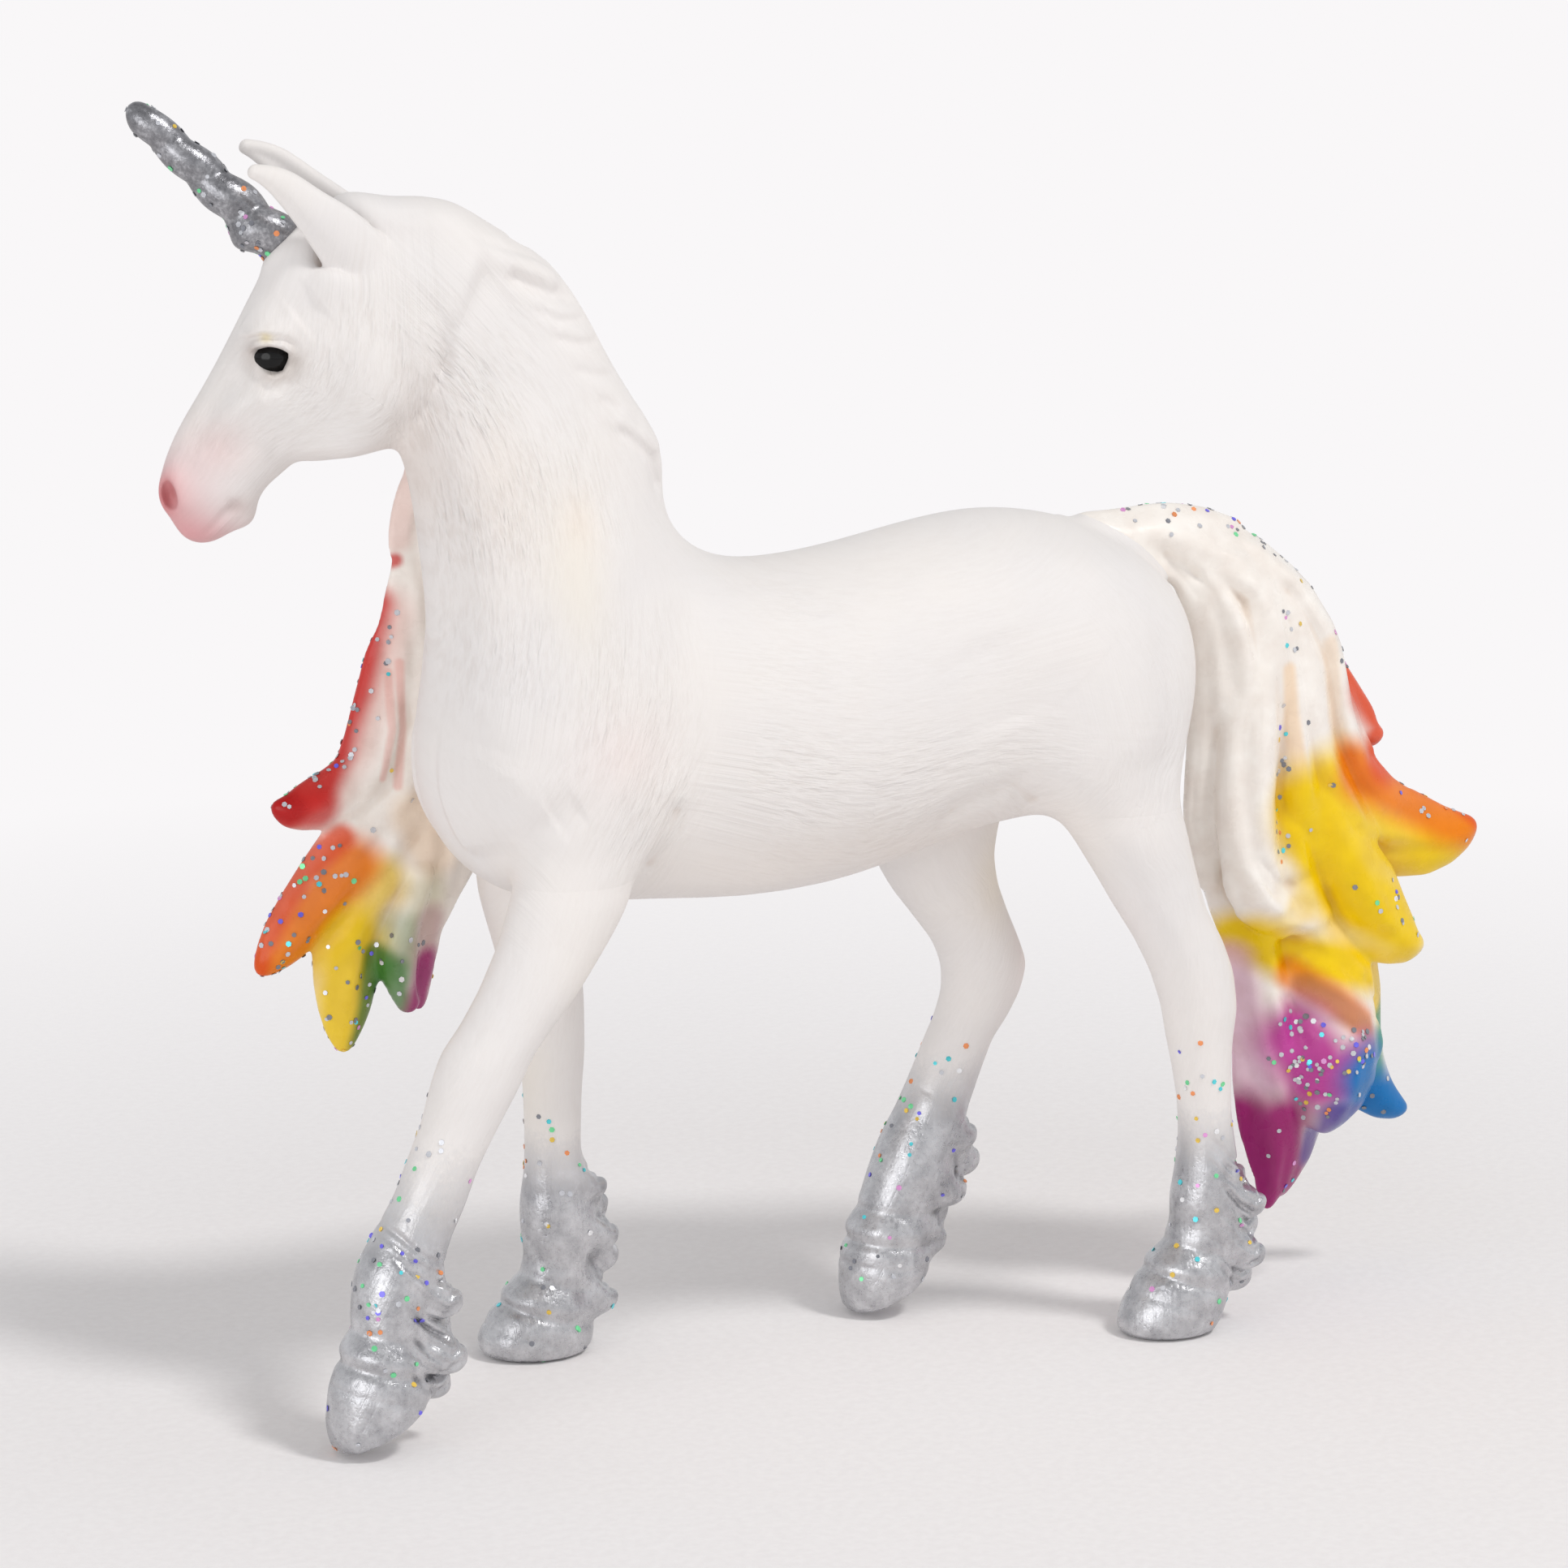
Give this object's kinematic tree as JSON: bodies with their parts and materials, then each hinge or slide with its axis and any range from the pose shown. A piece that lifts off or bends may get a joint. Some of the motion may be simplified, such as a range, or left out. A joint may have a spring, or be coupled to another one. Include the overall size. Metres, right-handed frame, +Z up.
{
  "type": "unicorn figurine",
  "caption": "Walking unicorn figurine of moulded plastic with a twisted horn, silver lower legs and a rainbow mane and tail, standing on flat hooves.",
  "frame": {"origin": "middle of the bounding box at floor level, under the soles", "axes": "-X is the way the unicorn walks, -Y is its left side and the thinnest direction lies along Y, +Z is up"},
  "size_m": [0.1476, 0.0358, 0.1328],
  "materials": {
    "white_coat": "satin white body colour; the lower legs are airbrushed with silver paint and glitter, and the muzzle with soft pink",
    "mane_white": "satin warm white",
    "mane_rainbow": "white at the root, airbrushed red, orange, yellow, green and violet towards the tips, with scattered glitter",
    "tail_rainbow": "white at the root, airbrushed yellow, orange, red, green, blue and magenta towards the tips, with scattered glitter",
    "silver_paint": "dark silver metallic paint on moulded plastic, with scattered glitter",
    "black_gloss": "gloss black enamel"
  },
  "bodies": {
    "root": {"body": "white_coat", "head": "white_coat", "leg_front_left": "white_coat", "leg_front_right": "white_coat", "leg_rear_left": "white_coat", "leg_rear_right": "white_coat", "mane_crest": "mane_white", "mane_fall": "mane_rainbow", "tail": "tail_rainbow", "horn": "silver_paint", "ear_left": "white_coat", "ear_right": "white_coat", "eye_left": "black_gloss", "eye_right": "black_gloss"}
  },
  "joints": []
}
